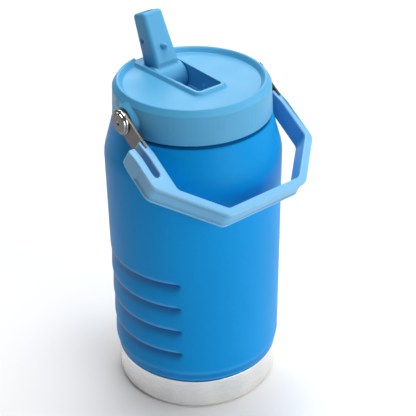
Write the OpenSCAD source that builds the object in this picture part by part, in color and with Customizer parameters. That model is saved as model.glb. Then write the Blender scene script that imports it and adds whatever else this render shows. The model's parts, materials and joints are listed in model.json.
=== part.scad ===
// Large insulated water jug with a screw-on lid, a flip spout and a swinging bail handle.
// Frame: origin at the centre of the rest ring, +Z up, handle pivots on the X axis, spout folds toward -Y.
// Drawn as it stands in use: spout flipped up, handle hanging in front of the shoulder.

/* [Body] */
// Outside diameter of the painted wall
body_d = 124; // [122:0.5:127]
// Height where the wall turns into the shoulder
shoulder_z = 190; // [186:1:192]
// Height of the bare steel foot ring
foot_h = 24.2; // [20:0.2:28]
// Thickness of the outer wall
shell_t = 1.8; // [1.6:0.1:2.2]
// Thickness of the inner vessel
vessel_t = 1.0; // [0.8:0.1:1.4]
// Vacuum gap between the outer wall and the vessel
vacuum_gap = 3.2; // [2.6:0.1:4]

/* [Grip grooves] */
// Number of grooves on each side
groove_count = 4; // [2:1:4]
// Height of the top groove's edge
groove_top_z = 112.7; // [106:0.5:118]
// Spacing of the grooves
groove_pitch = 20.2; // [16:0.2:20.6]
// Depth of a groove
groove_depth = 1.1; // [0.6:0.1:1.2]
// Half angle covered by a groove
groove_half_angle = 43; // [25:1:50]

/* [Lid] */
// Top of the lid's rim
lid_top_z = 241.6; // [240.5:0.1:243]
// Bottom of the lid's skirt
lid_bottom_z = 217.2; // [216.4:0.2:217.4]
// Radius at the bottom of the skirt
lid_r = 54.8; // [54:0.1:54.9]
// Depth of the dish below the rim
dish_depth = 3.7; // [2.8:0.1:4]

/* [Spout] */
// Height of the spout's hinge axis
hinge_z = 230.1; // [229.9:0.1:230.3]
// Distance of the hinge axis behind the jug's axis
hinge_y = 28.2; // [27.6:0.2:28.6]
// Radius of the hinge barrel
barrel_r = 10.2; // [9.6:0.1:10.3]
// Length from hinge axis to mouth
spout_len = 47.4; // [42:0.2:47.4]
// Lean of the raised spout behind vertical
spout_lean = 20.3; // [14:0.1:21]
// Diameter of the drinking passage
passage_d = 6.4; // [5:0.2:7]

/* [Handle] */
// Height of the handle's pivot axis
pivot_z = 226.6; // [226:0.2:227]
// Angle of the hanging handle away from straight down
handle_angle = 56; // [54:0.5:80]
// Distance from pivot to the inside of the crossbar
bar_reach = 85.1; // [84:0.2:92]
// Thickness of the crossbar
bar_t = 6.1; // [5:0.1:7]
// Width of the handle band
band_w = 16.6; // [15.4:0.1:18]
// Width of the open hanging slot in the left arm
slot_w = 4.4; // [4.2:0.1:5]

/* [Straps] */
// Width of the steel strap
strap_w = 15; // [13:0.2:15.4]
// Thickness of the steel strap
strap_t = 1.4; // [1:0.1:1.4]
// Radius of the pivot shoulder
pivot_shoulder_r = 3.52; // [3:0.02:4]

/* [Straw] */
// Outside diameter of the straw
straw_d = 11.4; // [10.8:0.1:12.6]
// Height of the straw's lower end above the rest plane
straw_bottom_z = 15; // [12:1:30]

/* [Hidden] */
$fn = 96;
eps = 0.01;
running_gap = 0.08;
body_r = body_d / 2;

// shoulder and neck
shoulder_slope = 16;
shoulder_blend_r = 30;
shoulder_top_z = 213.6;
roof_z = shoulder_top_z + 1;
neck_r = 48.2;
neck_wall = 1.2;
neck_top_z = 231.8;
mouth_r = 45.9;
vessel_r = body_r - shell_t - vacuum_gap;
vessel_floor_z = 8;
vessel_blend_z = shoulder_z - 5.5;

// foot
foot_r = 59.9;
foot_round = 2.4;
recess_z = 3.2;
recess_r = 46.4;

// lid
lid_bore_r = 50.2;
lid_side_top_r = 53.75;
lid_chamfer_z = lid_top_z - 4.3;
dish_z = lid_top_z - dish_depth;
plate_z = 235.4;
box_r = 44.2;
plug_r = 45.4;
plug_wall = 1;
plug_floor_z = 212.5;

// spout channel
channel_back_hw = 11.85;
channel_front_hw = 10.05;
channel_end_y = -19.8;
channel_floor_z = hinge_z - 4.6;
channel_deep_z = hinge_z - 7.4;
channel_slab = 1.8;
channel_rim_z = hinge_z + 10.2;
rim_top_w = 2.2;
rim_foot_w = 3.9;
pocket_r = barrel_r + 0.5;
catch_v = 28.3;
bump_lift = 0.8;

// spout block, thicker at the hinge end
spout_foot_front = -7.8;
spout_tip_front = -3.1;
spout_back_t = 11;
spout_waist_t = 9.1;
spout_foot_hw = 10;
spout_tip_hw = 8.35;
nub_v = 22.4;
nub_r = 2.7;
nub_len = 4.3;
dimple_t = 5.2;
port_y = hinge_y - barrel_r * sin(spout_lean);

// handle, measured across (x), away from the pivot (u) and through the band (n)
arm_in_x = 55.3;
arm_out_x = 60.5;
hook_t = 5.4;
hook_out_x = arm_out_x + slot_w + hook_t;
tip_u = 19.8;
hook_tip_u = 22.7;
slot_end_u = 45.4;
corner_x = 30.4;
band_top = 7.8;
band_low = band_top - band_w;
corner_in_r = 5;
corner_out_r = 8;

// pivot stack, outward along x
boss_r = 9.2;
boss_flare_r = 12.4;
boss_face_x = 56.4;
washer_x = boss_face_x + 0.05;
washer_t = 0.55;
strap_x = 57.1;
rivet_head_x = strap_x + strap_t + 0.1;
rivet_head_r = 8.6;
insert_x = 50.9;
tang_w = 10;
tang_end_u = 46;
strap_full_u = 25.5;

light_blue = [0.50, 0.73, 0.93];
body_blue = [0.05, 0.38, 0.72];
steel = [0.72, 0.71, 0.69];
rubber_grey = [0.80, 0.86, 0.90];

// ---------------------------------------------------------------- helpers

function arc(cx, cy, r, a0, a1, n = 8) =
    [for (i = [0:n]) [cx + r * cos(a0 + (a1 - a0) * i / n), cy + r * sin(a0 + (a1 - a0) * i / n)]];

function unit(v) = v / norm(v);

// points of an arc that rounds the corner at p
function corner(before, p, after, r, n = 6) =
    let (a = unit(before - p), b = unit(after - p), half = acos(a * b) / 2)
    let (c = p + unit(a + b) * r / sin(half), s = p + a * r / tan(half), e = p + b * r / tan(half))
    let (a0 = atan2(s[1] - c[1], s[0] - c[0]), a1 = atan2(e[1] - c[1], e[0] - c[0]))
    let (turn = ((a1 - a0 + 540) % 360) - 180)
    [for (i = [0:n]) c + r * [cos(a0 + turn * i / n), sin(a0 + turn * i / n)]];

// closed outline with a radius at every point, zero keeps the corner sharp
function rounded(pts, radii, n = 6) =
    let (k = len(pts))
    [for (i = [0:k - 1])
        each (radii[i] > 0 ? corner(pts[(i + k - 1) % k], pts[i], pts[(i + 1) % k], radii[i], n) : [pts[i]])];

module ring(r_out, r_in, z0, z1) {
    translate([0, 0, z0])
        difference() {
            cylinder(r = r_out, h = z1 - z0);
            translate([0, 0, -1])
                cylinder(r = r_in, h = z1 - z0 + 2);
        }
}

// cylinder along +X from x0 to x1
module bar_x(r, x0, x1) {
    translate([x0, 0, 0])
        rotate([0, 90, 0])
            cylinder(r = r, h = x1 - x0);
}

module both_sides() {
    for (side = [0, 1])
        mirror([side, 0, 0])
            children();
}

module at_pivot() {
    translate([0, 0, pivot_z])
        children();
}

// handle frame: x across, -z away from the pivot, -y through the band
module in_handle() {
    at_pivot()
        rotate([-handle_angle, 0, 0])
            children();
}

// spout frame: z toward the mouth, y toward the back face
module in_spout() {
    translate([0, hinge_y, hinge_z])
        rotate([-spout_lean, 0, 0])
            children();
}

// prism drawn in (x, u) and running through the band from n0 to n1
module band_prism(points, n0, n1) {
    rotate([90, 0, 0])
        translate([0, 0, n0])
            linear_extrude(n1 - n0)
                polygon(points);
}

// prism drawn in (n, u) and running across from x0 to x1
module side_prism(points, x0, x1) {
    translate([x0, 0, 0])
        rotate([0, 0, 90])
            rotate([90, 0, 0])
                linear_extrude(x1 - x0)
                    polygon([for (p = points) [-p[0], -p[1]]]);
}

// ---------------------------------------------------------------- body

// wall profile of a shell: vertical wall, blended shoulder, cone up to radius end_r
function shoulder(r, blend_z, blend_r, end_r) =
    let (r1 = r - blend_r + blend_r * cos(shoulder_slope), z1 = blend_z + blend_r * sin(shoulder_slope))
    concat(arc(r - blend_r, blend_z, blend_r, 0, shoulder_slope, 8),
           [[end_r, z1 + (r1 - end_r) / tan(shoulder_slope)]]);

function reversed(list) = [for (i = [len(list) - 1:-1:0]) list[i]];

module groove(half_angle, depth) {
    wall = body_r + 1;
    rotate_extrude(angle = 2 * half_angle, start = -half_angle)
        polygon([
            [wall, 0.3], [body_r, 0], [body_r - 0.6 * depth, -0.6], [body_r - depth, -5],
            [body_r - 0.9 * depth, -7], [body_r, -15.5], [wall, -15.5]
        ]);
}

module grooves() {
    both_sides()
        for (i = [0:groove_count - 1])
            translate([0, 0, groove_top_z - i * groove_pitch]) {
                groove(groove_half_angle - 1.5, groove_depth);
                groove(groove_half_angle, groove_depth * 0.55);
            }
}

module outer_shell() {
    blend_z = shoulder_z - shoulder_blend_r * tan(shoulder_slope / 2);
    outside = shoulder(body_r, blend_z, shoulder_blend_r, 55.2);
    inside = shoulder(body_r - shell_t, blend_z - 0.6, shoulder_blend_r, 53.6);
    lip_z = outside[len(outside) - 1][1];
    color(body_blue)
        difference() {
            rotate_extrude()
                polygon(concat(
                    [[59.0, foot_h + 0.4], [60.4, foot_h + 0.4], [60.4, foot_h + 3.2], [60.8, foot_h + 4]],
                    [[body_r - 0.3, foot_h + 7.8], [body_r, foot_h + 9.4]],
                    outside,
                    [[54.6, lip_z + 0.8], [53.6, lip_z + 1], [neck_r + 0.1, lip_z + 1]],
                    [[neck_r + 0.1, lip_z - 0.4], [52.9, lip_z - 0.4]],
                    reversed(inside),
                    [[body_r - shell_t, foot_h + 9.6], [59.0, foot_h + 6]]
                ));
            grooves();
        }
}

module base_cup() {
    color(steel)
        rotate_extrude()
            polygon(concat(
                [[0, recess_z], [recess_r, recess_z], [recess_r + 3, 0]],
                arc(60.3 - foot_round, foot_round, foot_round, -90, 0, 6),
                [[foot_r, foot_h], [58.9, foot_h], [58.9, foot_h + 6], [57.8, foot_h + 6]],
                [[57.8, 5], [56.2, 1.5], [recess_r + 4, 1.5], [recess_r + 1, recess_z + 1.2], [0, recess_z + 1.2]]
            ));
}

module neck_collar() {
    color(steel)
        union() {
            ring(neck_r, neck_r - neck_wall, roof_z + 0.6, neck_top_z - 0.05);
            for (z = [219.5, 223.5, 227.5])
                rotate_extrude()
                    polygon([[neck_r - 0.3, z - 1.2], [neck_r + 0.9, z - 0.3], [neck_r + 0.9, z + 0.3],
                             [neck_r - 0.3, z + 1.2]]);
        }
}

module inner_vessel() {
    blend_r = 28;
    outside = shoulder(vessel_r, vessel_blend_z, blend_r, 50.6);
    inside = shoulder(vessel_r - vessel_t, vessel_blend_z, blend_r - vessel_t, 49.8);
    top_z = outside[len(outside) - 1][1];
    neck_out = neck_r - neck_wall - 0.1;
    color(steel)
        rotate_extrude()
            polygon(concat(
                [[0, vessel_floor_z]],
                arc(vessel_r - 8, vessel_floor_z + 8, 8, -90, 0, 8),
                outside,
                [[neck_out, top_z + 1.4], [neck_out, neck_top_z], [neck_r, neck_top_z]],
                [[neck_r, neck_top_z + 0.8], [mouth_r, neck_top_z + 0.8], [mouth_r, top_z + 0.9]],
                reversed(inside),
                arc(vessel_r - 8, vessel_floor_z + 8, 8 - vessel_t, 0, -90, 8),
                [[0, vessel_floor_z + vessel_t]]
            ));
}

module vacuum_seal_disc() {
    color([0.55, 0.54, 0.52])
        translate([0, 0, recess_z - 1])
            cylinder(r = 5, h = 1 - 0.02);
}

module getter_pill() {
    color([0.35, 0.35, 0.36])
        translate([0, 0, recess_z + 1.25])
            cylinder(r = 7, h = 2);
}

// ---------------------------------------------------------------- lid

// half width of the channel at a given y
function channel_hw(y) =
    channel_front_hw + (channel_back_hw - channel_front_hw) * (y - channel_end_y) / (30 - channel_end_y);

// plan outline of the channel grown by g, from y_back to the front end
function channel_plan(g, y_back, round) =
    let (front = channel_end_y - g, hf = channel_hw(channel_end_y) + g, hb = channel_hw(y_back) + g)
    rounded([[hb, y_back], [-hb, y_back], [-hf, front], [hf, front]], [0, 0, round, round], 5);

module lid_disc() {
    rotate_extrude()
        polygon([
            [lid_bore_r, lid_bottom_z], [lid_r - 0.6, lid_bottom_z], [lid_r, lid_bottom_z + 0.8],
            [lid_side_top_r, lid_chamfer_z], [50.9, lid_top_z - 0.3], [50.2, lid_top_z],
            [49.3, lid_top_z - 0.1], [48.4, lid_top_z - 1], [46.6, dish_z], [0, dish_z],
            [0, plate_z], [lid_bore_r, plate_z]
        ]);
    for (z = [221.5, 225.5, 229.5])
        rotate_extrude()
            polygon([[lid_bore_r + 0.3, z - 0.9], [lid_bore_r + 0.3, z + 0.9], [lid_bore_r - 0.6, z + 0.3],
                     [lid_bore_r - 0.6, z - 0.3]]);
}

module channel_rim() {
    intersection() {
        hull() {
            translate([0, 0, dish_z - 0.5])
                linear_extrude(0.5)
                    polygon(channel_plan(rim_foot_w, 47, 6));
            translate([0, 0, channel_rim_z - 0.3])
                linear_extrude(0.3)
                    polygon(channel_plan(rim_top_w, 47, 5));
        }
        cylinder(r = 49, h = 300);
    }
}

module channel_box() {
    intersection() {
        union() {
            translate([-14.2, channel_end_y - 2, channel_deep_z - channel_slab])
                cube([28.4, 66, plate_z - channel_deep_z + channel_slab + 0.8]);
            translate([-14.2, 14, 217.6])
                cube([28.4, 30, plate_z - 217]);
        }
        cylinder(r = box_r, h = 300);
    }
}

// boss that flares into the side of the lid
module lid_boss() {
    intersection() {
        at_pivot()
            rotate([0, 90, 0])
                rotate_extrude()
                    polygon([[0, 51], [boss_flare_r, 51], [boss_flare_r, 52.4], [boss_r + 0.7, boss_face_x - 0.9],
                             [boss_r, boss_face_x - 0.1], [boss_r - 0.2, boss_face_x], [0, boss_face_x]]);
        translate([0, -50, lid_bottom_z + 0.2])
            cube([100, 100, 40]);
    }
}

module channel_cut() {
    deep_y = hinge_y - pocket_r + 0.2;
    ramp_y = -8;
    translate([0, 0, channel_floor_z])
        linear_extrude(40)
            polygon(channel_plan(0, hinge_y, 2.5));
    // floor ramps down toward the hinge, under the thicker end of the folded spout
    translate([-10.4, 0, 0])
        rotate([90, 0, 90])
            linear_extrude(20.8)
                polygon([[ramp_y, channel_floor_z], [deep_y, channel_deep_z], [hinge_y, channel_deep_z],
                         [hinge_y, hinge_z], [ramp_y, hinge_z]]);
    // vent hole that the nub closes
    translate([0, hinge_y - nub_v - 0.3, 215])
        cylinder(r = nub_r + 0.8, h = 12);
    translate([0, hinge_y, hinge_z])
        bar_x(pocket_r, -channel_back_hw, channel_back_hw);
    translate([-channel_back_hw, hinge_y - 1, hinge_z + 1.7])
        cube([2 * channel_back_hw, 14.6, 20]);
    translate([-channel_back_hw, hinge_y - 1, dish_z])
        cube([2 * channel_back_hw, 40, 20]);
}

module lid_shell() {
    color(light_blue)
        difference() {
            union() {
                difference() {
                    union() {
                        lid_disc();
                        channel_rim();
                        channel_box();
                    }
                    channel_cut();
                }
                both_sides()
                    lid_boss();
                // bumps on the channel walls that steady the folded spout
                both_sides()
                    translate([channel_hw(hinge_y - catch_v) + 0.9, hinge_y - catch_v, hinge_z + bump_lift])
                        sphere(r = 1.7, $fn = 32);
            }
            // clear the neck behind the bosses
            translate([0, 0, lid_bottom_z - 1])
                cylinder(r = lid_bore_r - 0.6, h = 217.6 - lid_bottom_z + 1);
            both_sides()
                at_pivot()
                    bar_x(3.6, 49, boss_face_x + 1);
            both_sides()
                translate([0, hinge_y, hinge_z])
                    bar_x(1.6, 9, 16);
            translate([0, port_y, 210])
                cylinder(r = 6.6, h = 14);
        }
}

module lid_liner() {
    color([0.62, 0.80, 0.95])
        difference() {
            union() {
                translate([0, 0, plug_floor_z])
                    cylinder(r = plug_r, h = 2);
                ring(plug_r, plug_r - plug_wall, plug_floor_z, plate_z - 0.05);
                ring(neck_r, plug_r - plug_wall, plate_z - 1.4, plate_z - 0.05);
            }
            translate([0, port_y, plug_floor_z - 1])
                cylinder(r = 4.75, h = 4);
            translate([-18, -14, plug_floor_z - 1])
                cylinder(r = 1.6, h = 4);
        }
}

module lid_gasket() {
    color(rubber_grey)
        ring(neck_r - 0.1, plug_r + 0.1, neck_top_z + 0.9, plate_z - 1.45);
}

module boss_inserts() {
    color([0.70, 0.62, 0.40])
        both_sides()
            at_pivot()
                difference() {
                    bar_x(3.55, insert_x, boss_face_x);
                    bar_x(2.1, insert_x - 1, boss_face_x + 1);
                }
}

module rivet() {
    head_t = 1.5;
    step_t = 1.3;
    step_r = 6.9;
    rotate([0, 90, 0])
        rotate_extrude()
            polygon([
                [0, 51.3], [2.05, 51.3], [2.05, boss_face_x + 0.02], [pivot_shoulder_r, boss_face_x + 0.02],
                [pivot_shoulder_r, rivet_head_x], [rivet_head_r, rivet_head_x],
                [rivet_head_r, rivet_head_x + head_t - 0.4], [rivet_head_r - 0.4, rivet_head_x + head_t],
                [step_r + 0.3, rivet_head_x + head_t + 0.5], [step_r, rivet_head_x + head_t + step_t - 0.4],
                [step_r - 0.5, rivet_head_x + head_t + step_t], [3, rivet_head_x + head_t + step_t + 0.2],
                [1.4, rivet_head_x + head_t + step_t + 0.1], [0.8, rivet_head_x + head_t + step_t - 0.5],
                [0, rivet_head_x + head_t + step_t - 0.6]
            ]);
}

module pivot_rivets() {
    color(steel)
        both_sides()
            at_pivot()
                rivet();
}

module pivot_washers() {
    color([0.20, 0.22, 0.25])
        both_sides()
            at_pivot()
                difference() {
                    bar_x(7, washer_x, washer_x + washer_t);
                    bar_x(pivot_shoulder_r + running_gap, washer_x - 1, washer_x + 2);
                }
}

// ---------------------------------------------------------------- spout and straw

// half width and front face of the spout block at height v
function spout_hw(v) = spout_foot_hw + (spout_tip_hw - spout_foot_hw) * v / spout_len;
function spout_front(v) = spout_foot_front + (spout_tip_front - spout_foot_front) * v / spout_len;

// rounded slab of the spout at height v, drawn in by inset, corner rods stand at the four corners
module spout_section(v, inset, round) {
    side = spout_hw(v) - inset - round;
    for (x = [-side, side])
        for (y = [spout_front(v) + inset + round, spout_back_t - inset - round])
            translate([x, y, v])
                cylinder(r = round, h = 0.3, $fn = 32);
}

module spout_block() {
    hull() {
        spout_section(0, 0, 3.6);
        spout_section(spout_len - 2.3, 0, 3.4);
        spout_section(spout_len - 1.2, 0.5, 3);
        spout_section(spout_len - 0.5, 1.4, 2.4);
        translate([0, 0.4, -0.2])
            spout_section(spout_len - 0.1, 3.4, 1.5);
    }
}

// the back face steps in toward the hinge, the front face eases off over the seal
module spout_waist_cut() {
    waist_v = 28.6;
    crest_v = 31;
    foot_t = -6.1;
    translate([-15, 0, 0])
        rotate([90, 0, 90])
            linear_extrude(30) {
                polygon([[spout_waist_t, -2], [spout_waist_t, waist_v], [spout_back_t + 0.1, crest_v],
                         [20, crest_v], [20, -2]]);
                polygon([[foot_t, -2], [foot_t, 9.4], [spout_front(12) - 0.1, 12], [-20, 12], [-20, -2]]);
            }
}

// press nub on the front face, pointing straight out of it
module press_nub() {
    tilt = atan((spout_tip_front - spout_foot_front) / spout_len);
    translate([0, spout_front(nub_v) + 0.6, nub_v])
        rotate([90 - tilt, 0, 0])
            rotate_extrude()
                polygon([[0, -1], [nub_r, -1], [nub_r, 0.6], [nub_r - 0.15, 1.7], [nub_r - 0.6, 2.9],
                         [nub_r - 1.3, 3.9], [nub_r - 2.1, nub_len + 0.35], [0, nub_len + 0.6]]);
}

module spout() {
    mouth_y = 4;
    color(light_blue)
        in_spout()
            difference() {
                union() {
                    difference() {
                        spout_block();
                        spout_waist_cut();
                    }
                    bar_x(barrel_r, -channel_back_hw + 0.6, channel_back_hw - 0.6);
                    press_nub();
                }
                // drinking passage from the mouth to the port under the barrel
                translate([0, mouth_y, 2])
                    cylinder(d = passage_d, h = spout_len);
                translate([0, 0, -barrel_r - 1])
                    cylinder(d = passage_d, h = barrel_r + 5);
                for (x = [-2, 2])
                    translate([x, mouth_y, spout_len - 3])
                        cylinder(d = passage_d, h = 6);
                // finger dimples in the sides
                both_sides()
                    translate([spout_hw(catch_v) + 0.5, dimple_t, catch_v])
                        sphere(r = 2.2, $fn = 32);
                both_sides()
                    bar_x(1.5 + running_gap, 7.5, 15);
            }
}

module spout_pins() {
    color(steel)
        both_sides()
            translate([0, hinge_y, hinge_z])
                bar_x(1.5, 7.8, 14);
}

module spout_seal() {
    color(rubber_grey)
        difference() {
            translate([0, port_y, 217.7])
                cylinder(r = 6.5, h = 6);
            translate([0, hinge_y, hinge_z])
                bar_x(barrel_r + 0.3, -12, 12);
            translate([0, port_y, 217])
                cylinder(d = passage_d + 0.4, h = 8);
        }
}

module straw_stem() {
    color([0.88, 0.92, 0.95])
        translate([0, port_y, 0])
            difference() {
                union() {
                    translate([0, 0, 215.8])
                        cylinder(r = 8.6, h = 1.7);
                    translate([0, 0, 201])
                        cylinder(r = 4.6, h = 16.5);
                }
                translate([0, 0, 200])
                    cylinder(d = passage_d, h = 20);
            }
}

module straw() {
    color([0.85, 0.90, 0.94])
        translate([0, port_y, 0])
            difference() {
                translate([0, 0, straw_bottom_z])
                    cylinder(d = straw_d, h = 211.5 - straw_bottom_z);
                translate([0, 0, straw_bottom_z - 1])
                    cylinder(r = 4.65, h = 200);
                // slanted lower end keeps the floor from closing the straw
                translate([0, 0, straw_bottom_z - 10])
                    rotate([25, 0, 0])
                        translate([-10, -10, -10])
                            cube([20, 20, 20]);
            }
}

module vent_valve() {
    color(rubber_grey)
        translate([-18, -14, plug_floor_z])
            union() {
                translate([0, 0, -1.05])
                    cylinder(r = 4, h = 1);
                translate([0, 0, -0.6])
                    cylinder(r = 1.5, h = 4);
                translate([0, 0, 2.05])
                    cylinder(r = 2.6, h = 1.6);
            }
}

// ---------------------------------------------------------------- handle

function handle_outline() =
    let (knee = bar_reach - (arm_in_x - corner_x))
    let (bar_out = bar_reach + bar_t, diag = bar_reach + corner_x + bar_t * 1.36)
    rounded([
        [arm_out_x, -tip_u], [arm_out_x, -(diag - arm_out_x)], [diag - bar_out, -bar_out],
        [-(diag - bar_out), -bar_out], [-hook_out_x, -(diag - hook_out_x)], [-hook_out_x, -hook_tip_u],
        [-(arm_out_x + slot_w / 2), -hook_tip_u], [-(arm_out_x + slot_w / 2), -tip_u],
        [-arm_in_x, -tip_u], [-arm_in_x, -knee], [-corner_x, -bar_reach],
        [corner_x, -bar_reach], [arm_in_x, -knee], [arm_in_x, -tip_u]
    ], [
        1.2, corner_out_r, corner_out_r,
        corner_out_r, corner_out_r, 1.6,
        0, 0,
        1.2, corner_in_r, corner_in_r,
        corner_in_r, corner_in_r, 1.2
    ]);

// wedges that narrow the band toward the arm tips
module tip_taper() {
    side_prism([[6, 12], [6, 22], [band_top, 32], [14, 32], [14, 12]], -80, 80);
    side_prism([[-6.1, 12], [-6.1, 21], [band_low, 30], [-16, 30], [-16, 12]], -80, 80);
}

module slot_cut() {
    slot_x = -(arm_out_x + slot_w / 2);
    translate([slot_x, 20, -slot_end_u])
        rotate([90, 0, 0])
            cylinder(d = slot_w, h = 40);
    translate([slot_x - slot_w / 2, -20, -slot_end_u])
        cube([slot_w, 40, 40]);
}

// room for the strap inside an arm, open at the tip
module strap_pocket() {
    gap = 0.04;
    translate([strap_x - gap, -20, -strap_full_u - gap])
        cube([strap_t + 2 * gap, 40, 20]);
    translate([strap_x - gap, -tang_w / 2 - gap, -tang_end_u - 0.3])
        cube([strap_t + 2 * gap, tang_w + 2 * gap, 40]);
    for (u = [32, 40])
        translate([0, 0, -u])
            bar_x(1.55, 55.9, 59.9);
}

module handle() {
    color(light_blue)
        in_handle()
            difference() {
                band_prism(handle_outline(), band_low, band_top);
                tip_taper();
                slot_cut();
                both_sides()
                    strap_pocket();
            }
}

module strap() {
    difference() {
        union() {
            bar_x(strap_w / 2, strap_x, strap_x + strap_t);
            translate([strap_x, -strap_w / 2, -strap_full_u])
                cube([strap_t, strap_w, strap_full_u]);
            translate([strap_x, -tang_w / 2, -tang_end_u])
                cube([strap_t, tang_w, tang_end_u - 1]);
        }
        bar_x(pivot_shoulder_r + running_gap, strap_x - 1, strap_x + 3);
        for (u = [32, 40])
            translate([0, 0, -u])
                bar_x(1.55, strap_x - 1, strap_x + 3);
    }
}

module strap_left() {
    color(steel)
        in_handle()
            mirror([1, 0, 0])
                strap();
}

module strap_right() {
    color(steel)
        in_handle()
            strap();
}

module strap_pins() {
    color([0.60, 0.60, 0.60])
        in_handle()
            both_sides()
                for (u = [32, 40])
                    translate([0, 0, -u])
                        bar_x(1.5, 56, 59.8);
}

outer_shell();
base_cup();
neck_collar();
inner_vessel();
vacuum_seal_disc();
getter_pill();
lid_shell();
lid_liner();
lid_gasket();
boss_inserts();
pivot_rivets();
pivot_washers();
spout();
spout_pins();
spout_seal();
straw_stem();
straw();
vent_valve();
handle();
strap_left();
strap_right();
strap_pins();
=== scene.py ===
"""Looks of the large insulated water jug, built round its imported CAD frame. +Z up, front -Y.

The scene, lights and camera are in metres. Profiles and outlines are in mm, and make_piece scales them.
"""

import json
import math

import bmesh
import bpy
from mathutils import Matrix, Vector


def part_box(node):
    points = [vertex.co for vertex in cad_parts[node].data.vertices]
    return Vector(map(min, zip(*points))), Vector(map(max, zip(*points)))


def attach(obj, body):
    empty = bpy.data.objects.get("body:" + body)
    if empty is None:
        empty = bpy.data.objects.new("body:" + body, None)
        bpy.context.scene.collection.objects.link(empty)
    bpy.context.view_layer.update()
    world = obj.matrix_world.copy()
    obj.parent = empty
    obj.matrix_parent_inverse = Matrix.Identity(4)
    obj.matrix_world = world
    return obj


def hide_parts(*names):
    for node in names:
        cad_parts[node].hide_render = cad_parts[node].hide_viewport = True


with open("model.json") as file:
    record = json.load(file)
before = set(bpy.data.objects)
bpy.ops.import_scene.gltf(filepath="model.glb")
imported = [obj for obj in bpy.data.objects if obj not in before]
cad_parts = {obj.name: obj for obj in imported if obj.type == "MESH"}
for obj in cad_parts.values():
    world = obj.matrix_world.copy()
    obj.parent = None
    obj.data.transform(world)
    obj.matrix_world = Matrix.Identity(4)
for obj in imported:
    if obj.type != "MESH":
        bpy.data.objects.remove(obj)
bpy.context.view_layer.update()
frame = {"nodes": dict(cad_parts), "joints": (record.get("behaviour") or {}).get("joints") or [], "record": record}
MM = 0.001

# ------------------------------------------------------------------ anchors read from the frame, in mm


def mm_box(node):
    """Corners of a solid's box, in mm."""
    lo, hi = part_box(node)
    return lo / MM, hi / MM


wall_lo, wall_hi = mm_box("outer_shell")
foot_lo, foot_hi = mm_box("base_cup")
joints = {j["name"]: j for j in frame["joints"]}
PIVOT_Z = joints["handle_swing"]["pos_m"][2] / MM
BODY_R = wall_hi.x
WALL_Z0 = wall_lo.z
FOOT_SPIGOT = 6.0
FOOT_H = foot_hi.z - FOOT_SPIGOT
HANDLE_ANGLE = math.radians(56.0)

# ------------------------------------------------------------------ mesh helpers


def make_piece(name, verts, faces, body, slot, replaces=(), sharp=35.0):
    """A new mesh object from points in mm, riding on a body."""
    mesh = bpy.data.meshes.new(name)
    mesh.from_pydata([Vector(v) * MM for v in verts], [], faces)
    bm = bmesh.new()
    bm.from_mesh(mesh)
    bmesh.ops.remove_doubles(bm, verts=bm.verts, dist=1e-6)
    bmesh.ops.recalc_face_normals(bm, faces=bm.faces)
    bm.to_mesh(mesh)
    bm.free()
    return place(name, mesh, body, slot, replaces, sharp)


def place(name, mesh, body, slot, replaces=(), sharp=35.0):
    """Puts a mesh in the scene with its slot's material.

    Edges over sharp degrees shade hard; None keeps the mesh's own normals.
    """
    obj = bpy.data.objects.new(name, mesh)
    bpy.context.scene.collection.objects.link(obj)
    mesh.materials.clear()
    mesh.materials.append(materials[slot])
    if sharp:
        mesh.shade_smooth()
        mesh.set_sharp_from_angle(angle=math.radians(sharp))
    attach(obj, body)
    if replaces:
        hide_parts(*replaces)
    return obj


def arc(cx, cy, r, a0, a1, n):
    """Points of an arc, angles in degrees."""
    turns = [math.radians(a0 + (a1 - a0) * i / n) for i in range(n + 1)]
    return [(cx + r * math.cos(t), cy + r * math.sin(t)) for t in turns]


def rounded(points, radii, n=6, closed=True):
    """An outline with each corner replaced by an arc of its radius."""
    out, k = [], len(points)
    for i, (p, r) in enumerate(zip(points, radii)):
        p = Vector(p)
        if r <= 0 or (not closed and i in (0, k - 1)):
            out.append(tuple(p))
            continue
        a = (Vector(points[i - 1]) - p).normalized()
        b = (Vector(points[(i + 1) % k]) - p).normalized()
        half = math.acos(max(-1.0, min(1.0, a.dot(b)))) / 2
        c = p + (a + b).normalized() * (r / math.sin(half))
        s, e = p + a * (r / math.tan(half)) - c, p + b * (r / math.tan(half)) - c
        a0, a1 = math.atan2(s.y, s.x), math.atan2(e.y, e.x)
        turn = (a1 - a0 + 3 * math.pi) % (2 * math.pi) - math.pi
        for j in range(n + 1):
            t = a0 + turn * j / n
            out.append((c.x + r * math.cos(t), c.y + r * math.sin(t)))
    return out


def split_long(profile, step):
    """Adds points so no stretch of a profile is longer than step."""
    out = [profile[0]]
    for p, q in zip(profile, profile[1:]):
        n = max(1, math.ceil(math.dist(p, q) / step))
        out += [(p[0] + (q[0] - p[0]) * i / n, p[1] + (q[1] - p[1]) * i / n) for i in range(1, n + 1)]
    return out


def lathe(profile, angles, shift=None, closed=True):
    """Verts and quads of a profile (r, z) turned about Z to these angles. shift(r, z, a) gives a new r."""
    verts, faces, k, m = [], [], len(profile), len(angles)
    for a in angles:
        for r, z in profile:
            rr = shift(r, z, a) if shift else r
            verts.append((rr * math.cos(a), rr * math.sin(a), z))
    rows = k if closed else k - 1
    for i in range(m):
        for j in range(rows):
            a, b = i * k + j, ((i + 1) % m) * k + j
            c, d = ((i + 1) % m) * k + (j + 1) % k, i * k + (j + 1) % k
            faces.append((a, b, c, d))
    return verts, faces


def even(n):
    """n angles evenly spread round a turn."""
    return [2 * math.pi * i / n for i in range(n)]


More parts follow.
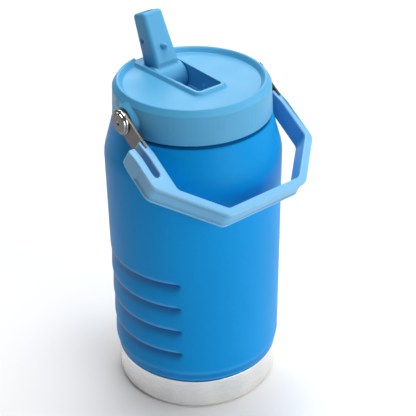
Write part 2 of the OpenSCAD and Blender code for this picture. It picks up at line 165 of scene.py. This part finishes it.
def offset_ring(outline, d):
    """A closed outline moved inward by d, given counter-clockwise."""
    out, k = [], len(outline)
    for i in range(k):
        p0, p, p1 = Vector(outline[i - 1]), Vector(outline[i]), Vector(outline[(i + 1) % k])
        e0, e1 = (p - p0).normalized(), (p1 - p).normalized()
        n0, n1 = Vector((-e0.y, e0.x)), Vector((-e1.y, e1.x))
        n = n0 + n1
        out.append(tuple(p + n * (d / max(0.35, 1 + n0.dot(n1)))))
    return out


# ------------------------------------------------------------------ material helpers


class Nodes:
    """Short way to wire a procedural material."""

    def __init__(self, name):
        self.mat = bpy.data.materials.new(name)
        self.mat.use_nodes = True
        self.tree = self.mat.node_tree
        self.tree.nodes.clear()
        self.out = self.tree.nodes.new("ShaderNodeOutputMaterial")
        self.bsdf = self.tree.nodes.new("ShaderNodeBsdfPrincipled")
        self.link(self.bsdf.outputs[0], self.out.inputs[0])
        self.coords = self.tree.nodes.new("ShaderNodeTexCoord").outputs["Object"]

    def link(self, a, b):
        self.tree.links.new(a, b)

    def new(self, kind, **settings):
        node = self.tree.nodes.new("ShaderNode" + kind)
        for key, value in settings.items():
            setattr(node, key, value)
        return node

    def noise(self, scale, detail=3.0, stretch=None, roughness=0.5):
        vector = self.coords
        if stretch:
            m = self.new("Mapping")
            m.inputs["Scale"].default_value = stretch
            self.link(vector, m.inputs["Vector"])
            vector = m.outputs[0]
        n = self.new("TexNoise")
        n.inputs["Scale"].default_value = scale
        n.inputs["Detail"].default_value = detail
        n.inputs["Roughness"].default_value = roughness
        self.link(vector, n.inputs["Vector"])
        return n.outputs["Fac"]

    def ramp(self, fac, stops):
        r = self.new("ValToRGB")
        while len(r.color_ramp.elements) < len(stops):
            r.color_ramp.elements.new(0.5)
        for e, (pos, col) in zip(r.color_ramp.elements, stops):
            e.position, e.color = pos, (*col, 1) if len(col) == 3 else col
        self.link(fac, r.inputs[0])
        return r.outputs[0]

    def span(self, fac, lo, hi, a=0.0, b=1.0):
        m = self.new("MapRange")
        for i, v in enumerate((lo, hi, a, b), 1):
            m.inputs[i].default_value = v
        self.link(fac, m.inputs[0])
        return m.outputs[0]

    def mix(self, fac, a, b, mode="MIX"):
        m = self.new("Mix", data_type="RGBA", blend_type=mode)
        if isinstance(fac, (int, float)):
            m.inputs[0].default_value = fac
        else:
            self.link(fac, m.inputs[0])
        for socket, value in ((m.inputs[6], a), (m.inputs[7], b)):
            if isinstance(value, tuple):
                socket.default_value = (*value, 1)
            else:
                self.link(value, socket)
        return m.outputs[2]

    def absolute(self, value):
        m = self.new("Math", operation="ABSOLUTE")
        self.link(value, m.inputs[0])
        return m.outputs[0]

    def bump(self, height, distance, strength=1.0, normal=None):
        b = self.new("Bump")
        b.inputs["Strength"].default_value = strength
        b.inputs["Distance"].default_value = distance
        self.link(height, b.inputs["Height"])
        if normal is not None:
            self.link(normal, b.inputs["Normal"])
        return b.outputs[0]

    def set(self, **values):
        for key, value in values.items():
            socket = self.bsdf.inputs[key.replace("_", " ")]
            if isinstance(value, bpy.types.NodeSocket):
                self.link(value, socket)
            else:
                is_color = isinstance(value, tuple) and len(value) == 3
                socket.default_value = (*value, 1) if is_color else value
        return self.mat


def shade(color, k):
    """A colour made k times as bright."""
    return tuple(c * k for c in color)


def moulded(name, color, rough=0.42, painted_edge_light=False):
    """Moulded plastic: fine grain and faint cloudiness. With its edge option it paints highlight on the corners
    and shade in the hollows.
    """
    n = Nodes(name)
    cloud = n.noise(22.0, 3.0)
    base = n.mix(n.span(cloud, 0.3, 0.7), shade(color, 0.97), shade(color, 1.02))
    speck = n.ramp(n.noise(420.0, 2.0), [(0.30, (0.985, 0.985, 0.985)), (0.55, (1, 1, 1))])
    base = n.mix(1.0, base, speck, "MULTIPLY")
    if painted_edge_light:
        # painted shade in the hollows and painted highlight on the corners, from pointiness
        point = n.new("NewGeometry").outputs["Pointiness"]
        base = n.mix(n.span(point, 0.498, 0.46, 0.0, 0.45), base, shade(color, 0.25))
        base = n.mix(n.span(point, 0.503, 0.55, 0.0, 0.40), base, tuple(0.35 + 0.65 * c for c in color))
    roughness = n.span(n.noise(60.0, 4.0), 0.35, 0.65, rough - 0.04, rough + 0.05)
    normal = n.bump(n.noise(2600.0, 2.0), 0.00004, 0.5)
    return n.set(Base_Color=base, Roughness=roughness, Normal=normal)


def coated(name, color):
    """Powder coat: orange-peel texture and slight colour drift, with painted shade and painted highlight mixed in
    by the mesh's tone attribute.
    """
    n = Nodes(name)
    cloud = n.noise(14.0, 3.0)
    base = n.mix(n.span(cloud, 0.3, 0.7), shade(color, 0.96), shade(color, 1.03))
    speck = n.ramp(n.noise(1500.0, 2.0), [(0.30, (0.93, 0.93, 0.93)), (0.62, (1.04, 1.04, 1.04))])
    base = n.mix(1.0, base, speck, "MULTIPLY")
    # the tone attribute carries painted shade and painted highlight; the first colour below is the painted shade,
    # the second the painted highlight
    tone = n.new("Attribute", attribute_type="GEOMETRY", attribute_name="tone").outputs["Fac"]
    deep, painted_highlight = (0.0, 0.045, 0.20), (0.15, 0.46, 0.84)
    base = n.mix(n.span(tone, 0.0, 1.0, 0.0, 0.9), base, deep)
    base = n.mix(n.span(tone, -0.6, 0.0, 0.45, 0.0), base, painted_highlight)
    roughness = n.span(n.noise(900.0, 2.0), 0.0, 1.0, 0.36, 0.50)
    peel = n.bump(n.noise(1100.0, 2.0), 0.00005, 0.6)
    normal = n.bump(n.noise(160.0, 2.0), 0.00003, 0.35, peel)
    return n.set(Base_Color=base, Roughness=roughness, Normal=normal, Specular_IOR_Level=0.10,
                 Sheen_Weight=0.012, Sheen_Roughness=0.45, Sheen_Tint=(0.85, 0.72, 1.0))


def brushed(name, color, stretch, rough, streak, aniso=0.0, edge=None, painted_bands=0.0):
    """Brushed steel: long thin streaks in colour, roughness and bump.

    An edge colour is painted reflection on all but the faces across X.
    A band share darkens broad upright stripes by that share, as painted dark reflections.
    """
    n = Nodes(name)
    fine = n.noise(60.0, 4.0, stretch, 0.65)
    wide = n.noise(10.0, 3.0, stretch)
    base = n.mix(n.span(fine, 0.3, 0.7), shade(color, 1 - 0.22 * streak), shade(color, 1 + 0.12 * streak))
    base = n.mix(n.span(wide, 0.35, 0.65, 0.0, 0.35), base, shade(color, 0.88))
    # painted dark reflections in broad upright stripes
    if painted_bands:
        upright = n.span(n.noise(27.0, 2.0, (1, 1, 0)), 0.42, 0.56)
        base = n.mix(upright, shade(color, 1 - painted_bands), base)
    # painted reflection colour on every face not across X
    if edge:
        normal = n.new("SeparateXYZ")
        n.link(n.new("TexCoord").outputs["Normal"], normal.inputs[0])
        across = n.absolute(normal.outputs[0])
        base = n.mix(n.span(across, 0.55, 0.9, 1.0, 0.0), base, edge)
    roughness = n.span(fine, 0.3, 0.7, rough - 0.06, rough + 0.09)
    normal = n.bump(fine, 0.00003, 0.5 * streak)
    if aniso:
        tangent = n.new("Tangent", direction_type="RADIAL", axis="Z")
        n.link(tangent.outputs[0], n.bsdf.inputs["Tangent"])
        n.set(Anisotropic=aniso)
    return n.set(Base_Color=base, Metallic=1.0, Roughness=roughness, Normal=normal)


def soft_rubber(name, color):
    """Dull seal rubber with a fine skin."""
    n = Nodes(name)
    base = n.mix(n.span(n.noise(40.0), 0.3, 0.7), shade(color, 0.95), shade(color, 1.03))
    normal = n.bump(n.noise(700.0, 3.0), 0.00004, 0.5)
    return n.set(Base_Color=base, Roughness=n.span(n.noise(90.0), 0.3, 0.7, 0.45, 0.6), Normal=normal)


LIGHT_BLUE = (0.070, 0.360, 0.625)
# painted reflection colours for the sides of the strap and the rivet, set off against their dark faces
STRAP_PAINTED_REFLECTION, RIVET_PAINTED_REFLECTION = (0.17, 0.145, 0.12), (0.70, 0.68, 0.66)
materials = {
    "blue_coat": coated("coat_blue", (0.0, 0.278, 0.685)),
    "brushed_base": brushed("steel_foot", (0.98, 0.965, 0.94), (1, 1, 40), 0.25, 0.22, aniso=0.6, painted_bands=0.12),
    "vessel_steel": brushed("steel_vessel", (0.60, 0.59, 0.57), (1, 1, 30), 0.34, 0.4),
    "neck_steel": brushed("steel_neck", (0.62, 0.61, 0.59), (1, 1, 30), 0.30, 0.4),
    # the dark bases of strap and rivet are painted dark reflection on their faces across X
    "strap_steel": brushed("steel_strap", (0.115, 0.113, 0.115), (6, 30, 30), 0.30, 0.5, edge=STRAP_PAINTED_REFLECTION),
    "rivet_steel": brushed("steel_rivet", (0.15, 0.147, 0.15), (30, 6, 6), 0.16, 0.3, edge=RIVET_PAINTED_REFLECTION),
    "pin_steel": brushed("steel_pin", (0.40, 0.40, 0.39), (30, 6, 6), 0.25, 0.3),
    "getter_metal": brushed("getter_grey", (0.20, 0.20, 0.21), (8, 8, 8), 0.55, 0.5),
    "seal_metal": brushed("seal_grey", (0.45, 0.45, 0.44), (8, 8, 8), 0.40, 0.5),
    "insert_brass": brushed("brass_insert", (0.70, 0.52, 0.24), (30, 6, 6), 0.30, 0.4),
    "lid_plastic": moulded("plastic_lid", LIGHT_BLUE, 0.42),
    "liner_plastic": moulded("plastic_liner", (0.45, 0.66, 0.84), 0.38),
    "spout_plastic": moulded("plastic_spout", LIGHT_BLUE, 0.42),
    "handle_plastic": moulded("plastic_handle", (0.135, 0.43, 0.71), 0.42, painted_edge_light=True),
    "washer_plastic": moulded("plastic_washer", (0.03, 0.04, 0.05), 0.45),
    "straw_plastic": moulded("plastic_straw", (0.70, 0.76, 0.80), 0.22),
    "seal_rubber": soft_rubber("rubber_seal", (0.60, 0.68, 0.73)),
}
for part in frame["record"]["subparts"]:
    node = frame["nodes"][part["node"]]
    node.data.materials.clear()
    node.data.materials.append(materials[part["material_slot"]])
    node.data.shade_smooth()

# ------------------------------------------------------------------ painted wall

GROOVE_TOP, GROOVE_PITCH, GROOVES, GROOVE_DEPTH = 112.7, 20.2, 4, 1.6
# half the angle that a groove spans, in degrees
GROOVE_HALF = 43.0
# rows of the mesh below a groove's edge, and columns past its end, close together where it bends
GROOVE_ROWS = (-2.6, -2.1, -1.7, -1.2, -0.8, -0.6, -0.45, -0.3, -0.15, 0, 0.1, 0.25, 0.4, 0.65, 0.9, 1.2,
               1.8, 2.4, 3, 3.6, 4.6, 5.4, 6.2, 7.4, 8.5, 9.8, 11, 12.2, 13.5, 15.5, 17.4)
GROOVE_ENDS = (-3.6, -3.1, -2.6, -2.1, -1.6, -1.2, -0.8, -0.4, 0, 0.4, 0.8)


def along(curve, x):
    """Height of a line through these points at x, zero outside them."""
    for (x0, y0), (x1, y1) in zip(curve, curve[1:]):
        if x0 <= x <= x1:
            return y0 + (y1 - y0) * (x - x0) / (x1 - x0)
    return 0.0


def groove_at(z, a, curve):
    """Value of a curve below the groove edges at height z and angle a, faded out at the groove ends."""
    off = abs(math.degrees(math.asin(max(-1.0, min(1.0, math.sin(a))))))
    for i in range(GROOVES):
        below = GROOVE_TOP - i * GROOVE_PITCH - z
        if GROOVE_ROWS[0] <= below <= 17.5:
            reach = GROOVE_HALF - 1.4 * max(0.0, 1 - below / 2.2) ** 2
            fade = 1.6 + max(0.0, min(below, 9.0) - 0.8) * 1.6
            ends = max(0.0, min(1.0, (reach - off) / fade))
            return along(curve, below) * ends * ends * (3 - 2 * ends)
    return 0.0


# sharp step in under each edge, long slope out
GROOVE_SHAPE = [(-0.9, 0), (-0.45, 0.03), (-0.15, 0.12), (0.1, 0.30), (0.4, 0.44), (1.2, 0.62), (2.4, 0.83),
                (3.6, 0.95), (4.6, 1.0), (6.2, 0.96), (8.5, 0.80), (11.0, 0.56), (13.5, 0.28), (15.5, 0.10),
                (17.4, 0)]
# how much painted shade the coat gets in the groove, and the painted highlight on its rolled lip
GROOVE_PAINTED_SHADE = [(-2.6, 0), (-1.6, -0.5), (-0.6, -0.6), (-0.2, 0.4), (0.1, 1.0), (1.6, 1.0), (2.1, 0.85),
               (3.6, 0.78), (5.8, 0.52), (8.5, 0.15), (11.5, 0)]
# the same painted shade and highlight for the tucked-in band at the wall's foot, by height above the wall's lower
# edge
BAND_PAINTED_SHADE = [(-1, 1.0), (0.7, 1.0), (1.3, 0.1), (2.2, -0.4), (3.2, 0.35), (6.6, 0.35), (8.0, 0), (9.2, -0.25),
             (11, 0)]
# painted shade under the lid on the shoulder, by height above the floor
SHOULDER_PAINTED_SHADE = [(188, 0), (206, 0.22), (220, 0.3)]


def groove_cut(r, z, a):
    """Radius of the wall with the grooves of both sides pressed in."""
    return r - GROOVE_DEPTH * groove_at(z, a, GROOVE_SHAPE) if r > BODY_R - 0.5 else r


def wall_painted_shade(r, z, a):
    """Painted shade (above 0) and painted highlight (below 0) on the coat at a point of the wall."""
    if r < 60.0:
        return 0.0
    return along(BAND_PAINTED_SHADE, z - WALL_Z0) + groove_at(z, a, GROOVE_PAINTED_SHADE) + along(SHOULDER_PAINTED_SHADE, z)


def wall_profile():
    """Outline of the painted wall (r, z): up the outside from the foot, over the lip, and down the inside."""
    blend_r, slope, top_r, shoulder_z = 30.0, 16.0, 55.2, 190.0
    neck_r, wall_t = 48.4, 1.8
    blend_z = shoulder_z - blend_r * math.tan(math.radians(slope / 2))
    z0 = WALL_Z0
    step = [(59.0, z0), (60.4, z0), (60.4, z0 + 2.9), (61.72, z0 + 7.4), (BODY_R, z0 + 9.4), (BODY_R, 40)]
    low = split_long(rounded(step, [0, 0.35, 0.8, 2.0, 2.0, 0], 4, closed=False), 0.8)
    low = [p for p in low if p[1] < z0 + 10.2]
    rows = {46.0, 116.0, 120.0, 130, 140, 150, 160, 170, 178}
    for i in range(GROOVES):
        rows |= {GROOVE_TOP - i * GROOVE_PITCH - d for d in GROOVE_ROWS}
    middle = [(BODY_R, z) for z in sorted(rows) if z > z0 + 10.3]
    shoulder = arc(BODY_R - blend_r, blend_z, blend_r, 0, slope, 14)
    r1, z1 = shoulder[-1]
    z_top = z1 + (r1 - top_r) / math.tan(math.radians(slope))
    cone = split_long([(r1, z1), (top_r, z_top)], 4.0)[1:]
    lip = rounded([(top_r + 0.6, z_top - 2.1), (top_r, z_top), (54.3, z_top + 1), (neck_r, z_top + 1)],
                  [0, 0.6, 0.7, 0], 4, closed=False)[1:]
    inside = [(neck_r, z_top - 0.4), (52.9, z_top - 0.4), (58.6, 195.0), (BODY_R - wall_t, 186.0),
              (BODY_R - wall_t, 35.0), (59.0, z0 + 6.0)]
    return low + middle + shoulder + cone[:-1] + lip + inside


def build_wall():
    """The painted outer wall with four grooves on each side."""
    angles = set(even(224))
    for side in (0, math.pi):
        for end in (-1, 1):
            angles |= {(side + end * math.radians(GROOVE_HALF + d)) % (2 * math.pi) for d in GROOVE_ENDS}
    verts, faces = lathe(wall_profile(), sorted(angles), groove_cut)
    wall = make_piece("wall", verts, faces, "jug", "blue_coat", ["outer_shell"], 40)
    # painted shade and painted highlight for each vertex, kept in the tone attribute for the coat
    tone = wall.data.attributes.new("tone", "FLOAT", "POINT")
    for v, value in zip(wall.data.vertices, tone.data):
        x, y, z = v.co / MM
        value.value = wall_painted_shade(math.hypot(x, y), z, math.atan2(y, x))


def build_foot():
    """The bare steel foot with its rest ring and the spigot inside the wall."""
    z0, top, wall_in = foot_lo.z, FOOT_H, 57.8
    outer = [(0.01, 3.2), (46.4, 3.2), (49.4, z0), (60.3, z0), (59.9, top), (58.9, top),
             (58.9, top + FOOT_SPIGOT)]
    inner = [(wall_in, top + FOOT_SPIGOT), (wall_in, 5), (56.2, 1.5), (50.4, 1.5), (47.4, 4.4), (0.01, 4.4)]
    radii = [0, 1.2, 0.8, 2.4, 0.45, 0.2, 0, 0, 0.8, 1, 1, 1, 0]
    outline = split_long(rounded(outer + inner, radii, 6, closed=False), 6.0)
    verts, faces = lathe(outline, even(256), closed=False)
    make_piece("foot", verts, faces, "jug", "brushed_base", ["base_cup"], 50)


# ------------------------------------------------------------------ moulded parts taken from their solids


def even_shading(obj):
    """Normals weighted by face area, so flat faces shade flat."""
    obj.data.shade_smooth()
    weigh = obj.modifiers.new("weigh", "WEIGHTED_NORMAL")
    weigh.weight, weigh.keep_sharp = 80, False


def working_copy(name, node):
    """A loose copy of a solid for modifiers to work on."""
    obj = bpy.data.objects.new(name, frame["nodes"][node].data.copy())
    bpy.context.scene.collection.objects.link(obj)
    return obj


def place_copy(obj, name, node, body, slot):
    """Applies a copy's modifiers and puts the result in its solid's place."""
    even_shading(obj)
    done = bpy.data.meshes.new_from_object(obj.evaluated_get(bpy.context.evaluated_depsgraph_get()))
    bpy.data.objects.remove(obj)
    done.name = name
    place(name, done, body, slot, [node], None)


def moulded_copy(name, node, body, slot, voxel, smooth, keep):
    """A copy of a solid with every edge softly rounded, as plastic comes out of a mould."""
    obj = working_copy(name, node)
    remesh = obj.modifiers.new("remesh", "REMESH")
    remesh.mode, remesh.voxel_size = "VOXEL", voxel * MM
    relax = obj.modifiers.new("relax", "SMOOTH")
    relax.factor, relax.iterations = 0.5, smooth
    thin = obj.modifiers.new("thin", "DECIMATE")
    thin.ratio = keep
    place_copy(obj, name, node, body, slot)


def bevelled_copy(name, node, body, slot, width):
    """A copy of a solid with its sharp edges broken by a small round."""
    obj = working_copy(name, node)
    edge = obj.modifiers.new("edge", "BEVEL")
    edge.width, edge.segments = width * MM, 3
    edge.limit_method, edge.angle_limit = "ANGLE", math.radians(40)
    edge.use_clamp_overlap = True
    place_copy(obj, name, node, body, slot)


# ------------------------------------------------------------------ handle, straps and rivets

in_handle = Matrix.Translation((0, 0, PIVOT_Z)) @ Matrix.Rotation(-HANDLE_ANGLE, 4, "X")
# the bail in its own plane: x across the jug, u away from the pivot
REACH, BAR_T, CORNER_X, KNEE_STRETCH = 85.1, 6.1, 30.4, 1.36
ARM_IN, ARM_OUT, HOOK_OUT = 55.3, 60.5, 70.3
BAR_OUT = REACH + BAR_T
DIAG_OUT = REACH + CORNER_X + BAR_T * KNEE_STRETCH
# the band's two sides, square to that plane, on the arms and on the bar
ARM_LOW, ARM_TOP, BAR_LOW, BAR_TOP = -6.1, 6.0, -8.8, 7.8
# the recessed grip panel: its depth, which is also the length of its first slope, the rim left beyond it,
# where it starts on each arm, and its two sides
PANEL_DEPTH, PANEL_RIM, PANEL_START_HOOK, PANEL_START_PLAIN = 0.7, 0.6, 37.0, 66.0
PANEL_LOW, PANEL_TOP = -6.9, 5.9


def handle_outline():
    """The bail as points (x, u): the plain arm, round the bar, and the forked arm with its open slot."""
    slot_in, slot_out, slot_end, tip, hook_tip = 60.5, 64.9, 45.4, 19.8, 22.7
    slot_r, slot_steps = (slot_out - slot_in) / 2, 10
    knee, bar_x = REACH - (ARM_IN - CORNER_X), DIAG_OUT - BAR_OUT
    outside = [(ARM_OUT, tip), (ARM_OUT, DIAG_OUT - ARM_OUT), (bar_x, BAR_OUT), (-bar_x, BAR_OUT),
               (-HOOK_OUT, DIAG_OUT - HOOK_OUT), (-HOOK_OUT, hook_tip), (-slot_out, hook_tip)]
    turns = [t * math.pi / slot_steps for t in range(slot_steps + 1)]
    slot = [(-slot_out + slot_r - slot_r * math.cos(t), slot_end + slot_r * math.sin(t)) for t in turns]
    inside = [(-slot_in, tip), (-ARM_IN, tip), (-ARM_IN, knee), (-CORNER_X, REACH), (CORNER_X, REACH),
              (ARM_IN, knee), (ARM_IN, tip)]
    radii = [1.3, 8, 8, 8, 8, 2.0, 1.3] + [0] * len(slot) + [1.3, 1.3, 5, 5, 5, 5, 1.3]
    return rounded(outside + slot + inside, radii, 8)


def band_limits(u):
    """Lower and upper side of the handle band at a distance u from the pivot."""
    def ease(a, b):
        t = max(0.0, min(1.0, (u - a) / (b - a)))
        return t * t * (3 - 2 * t)
    return ARM_LOW + (BAR_LOW - ARM_LOW) * ease(20, 31), ARM_TOP + (BAR_TOP - ARM_TOP) * ease(21, 33)


def panel_weight(x, u):
    """1 on the outer faces of the bail inside the grip panel, 0 elsewhere."""
    over_bar = u - (BAR_OUT - PANEL_RIM)
    over_diag = abs(x) + u - (DIAG_OUT - 2 * PANEL_RIM)
    over_arm = abs(x) - (ARM_OUT if x > 0 else HOOK_OUT) + PANEL_RIM
    if max(over_bar, over_diag, over_arm) < 0:
        return 0.0
    start = PANEL_START_HOOK if x < 0 else PANEL_START_PLAIN
    return max(0.0, min(1.0, (u - start) / PANEL_DEPTH))


def band_levels(edge):
    """Rings across the band as (inset, height, panel press from 0 to 1), with both rims rounded by edge."""
    quarter = [math.pi / 2 * i / 4 for i in range(5)]
    ramp = [(0, 0.0), (0.25, 0.15), (0.5, 0.85), (0.75, 1.0)]
    levels = [(edge * (1 - math.sin(a)), BAR_LOW + edge * (1 - math.cos(a)), 0.0) for a in quarter]
    levels += [(0, PANEL_LOW + d, press) for d, press in ramp]
    levels += [(0, -3.0, 1.0), (0, 1.5, 1.0)]
    levels += [(0, PANEL_TOP - d, press) for d, press in reversed(ramp)]
    return levels + [(edge * (1 - math.cos(a)), BAR_TOP - edge * (1 - math.sin(a)), 0.0) for a in quarter]


def build_handle():
    """The bail handle, a band along its outline that widens from the arms to the bar."""
    # turned over so that it runs counter-clockwise, as offset_ring needs
    outline = [(x, -u) for x, u in reversed(handle_outline())]
    outline = split_long(outline + outline[:1], 1.2)[:-1]
    panel = [panel_weight(x, -y) for x, y in outline]
    deep = offset_ring(outline, PANEL_DEPTH)
    levels = band_levels(1.1)
    verts, faces, k = [], [], len(outline)
    for inset, n, press in levels:
        ring = offset_ring(outline, inset) if inset else outline
        for p, q, w in zip(ring, deep, panel):
            t = press * w
            x, y = p[0] + (q[0] - p[0]) * t, p[1] + (q[1] - p[1]) * t
            lo, hi = band_limits(-y)
            across = n * hi / BAR_TOP if n > 0 else n * lo / BAR_LOW
            verts.append(in_handle @ Vector((x, -across, y)))
    for row in range(len(levels) - 1):
        for i in range(k):
            j = (i + 1) % k
            faces.append((row * k + i, row * k + j, (row + 1) * k + j, (row + 1) * k + i))
    faces.append(tuple(range(k))[::-1])
    faces.append(tuple(range((len(levels) - 1) * k, len(levels) * k)))
    make_piece("handle_bail", verts, faces, "handle", "handle_plastic", ["handle"], 40)


def build_rivets():
    """Both pivot rivets: stepped head with a dimpled crown, turned about the pivot axis."""
    top = mm_box("pivot_rivets")[1].x
    head, foot_x, step_x, shank_r, neck_r, head_r = top - 3.0, 51.3, 56.42, 2.05, 3.52, 8.6
    shank = [(0.01, foot_x), (shank_r, foot_x), (shank_r, step_x), (neck_r, step_x), (neck_r, head)]
    crown = [(head_r, head), (head_r, head + 1.5), (7.15, head + 1.8), (6.9, head + 2.8), (1.5, top - 0.02),
             (0.8, head + 2.4), (0.01, head + 2.3)]
    radii = [0, 0.2, 0, 0.1, 0, 0.3, 0.6, 0.25, 0.5, 0.3, 0.3, 0]
    profile = rounded(shank + crown, radii, 6, closed=False)
    verts, faces = lathe(split_long(profile, 1.5), even(96), closed=False)
    both, count = [], len(verts)
    for side in (1, -1):
        both += [(side * z, y, PIVOT_Z + x) for x, y, z in verts]
    faces = faces + [tuple(i + count for i in reversed(f)) for f in faces]
    make_piece("rivet_heads", both, faces, "lid", "rivet_steel", ["pivot_rivets"], 50)


# ------------------------------------------------------------------ build everything

build_wall()
build_foot()
moulded_copy("lid_cap", "lid_shell", "lid", "lid_plastic", 0.3, 2, 0.3)
moulded_copy("drink_spout", "spout", "spout", "spout_plastic", 0.25, 6, 0.35)
build_handle()
build_rivets()
bevelled_copy("strap_plate_left", "strap_left", "handle", "strap_steel", 0.22)
bevelled_copy("strap_plate_right", "strap_right", "handle", "strap_steel", 0.22)

# ------------------------------------------------------------------ floor, lights, camera


CAMERA_AT = (-0.3962, -0.5035, 0.5386)
CAMERA_FORWARD = (0.53399, 0.65773, -0.53127)
CAMERA_RIGHT = (0.776, -0.63, 0)
CAMERA_ROLL = math.radians(-0.72)


def build_floor():
    """A wide pale floor, just under the foot."""
    n = Nodes("floor_pale")
    tone = n.mix(n.span(n.noise(1.5, 2.0), 0.3, 0.7), (0.89, 0.89, 0.89), (0.91, 0.91, 0.91))
    material = n.set(Base_Color=tone, Roughness=0.9)
    mesh = bpy.data.meshes.new("floor")
    half, z = 4.0, -0.0002
    corners = [(-half, -half, z), (half, -half, z), (half, half, z), (-half, half, z)]
    mesh.from_pydata(corners, [], [(0, 1, 2, 3)])
    mesh.materials.append(material)
    floor = bpy.data.objects.new("floor", mesh)
    bpy.context.scene.collection.objects.link(floor)


def area_light(name, size, place_at, aim, power):
    """A white soft box, sizes in metres, turned to face aim."""
    data = bpy.data.lights.new(name, "AREA")
    data.shape, data.size, data.size_y = "RECTANGLE", size[0], size[1]
    data.energy = power
    obj = bpy.data.objects.new(name, data)
    obj.location = place_at
    obj.rotation_euler = (Vector(aim) - Vector(place_at)).to_track_quat("-Z", "Y").to_euler()
    bpy.context.scene.collection.objects.link(obj)


def build_lights():
    """A dim surround, brightest at the horizon and darker on the camera's left, with four soft boxes."""
    world = bpy.data.worlds.new("studio")
    bpy.context.scene.world = world
    world.use_nodes = True
    tree = world.node_tree
    background = tree.nodes["Background"]
    upward = tree.nodes.new("ShaderNodeSeparateXYZ")
    fade = tree.nodes.new("ShaderNodeValToRGB")
    direction = tree.nodes.new("ShaderNodeTexCoord").outputs["Generated"]
    tree.links.new(direction, upward.inputs[0])
    tree.links.new(upward.outputs[2], fade.inputs[0])
    tree.links.new(fade.outputs[0], background.inputs[0])
    fade.color_ramp.elements.new(0.25)
    levels = ((0.06, 0.45), (0.25, 0.25), (0.55, 0.12))
    for stop, (pos, level) in zip(fade.color_ramp.elements, levels):
        stop.position, stop.color = pos, (level, level, level, 1)
    aside = tree.nodes.new("ShaderNodeVectorMath")
    aside.operation = "DOT_PRODUCT"
    aside.inputs[1].default_value = CAMERA_RIGHT
    tree.links.new(direction, aside.inputs[0])
    dim = tree.nodes.new("ShaderNodeMapRange")
    for socket, value in zip(dim.inputs[1:5], (-0.75, 0.1, 0.12, 1.0)):
        socket.default_value = value
    tree.links.new(aside.outputs["Value"], dim.inputs[0])
    tree.links.new(dim.outputs[0], background.inputs[1])
    centre = (0, 0, 0.12)
    area_light("top_box", (1.2, 1.2), (0.22, 0.1, 1.8), centre, 29)
    area_light("right_box", (0.7, 1.2), (1.2, -0.7, 0.75), centre, 5)
    area_light("front_box", (1.0, 1.0), (0.25, -1.5, 0.55), centre, 11)
    area_light("back_box", (1.6, 0.7), (0.75, 1.2, 1.0), centre, 9)


def build_camera():
    """The camera at the photograph's angle."""
    data = bpy.data.cameras.new("camera")
    data.sensor_width, data.lens = 36.0, 90.5
    data.clip_start, data.clip_end = 0.05, 20.0
    cam = bpy.data.objects.new("camera", data)
    forward = Vector(CAMERA_FORWARD).normalized()
    right = forward.cross(Vector((0, 0, 1))).normalized()
    up = right.cross(forward)
    across = right * math.cos(CAMERA_ROLL) + up * math.sin(CAMERA_ROLL)
    upward = across.cross(forward)
    turn = Matrix((across, upward, -forward)).transposed().to_4x4()
    cam.matrix_world = Matrix.Translation(CAMERA_AT) @ turn
    bpy.context.scene.collection.objects.link(cam)
    bpy.context.scene.camera = cam


build_floor()
build_lights()
build_camera()
bpy.context.scene.view_settings.view_transform = "Standard"
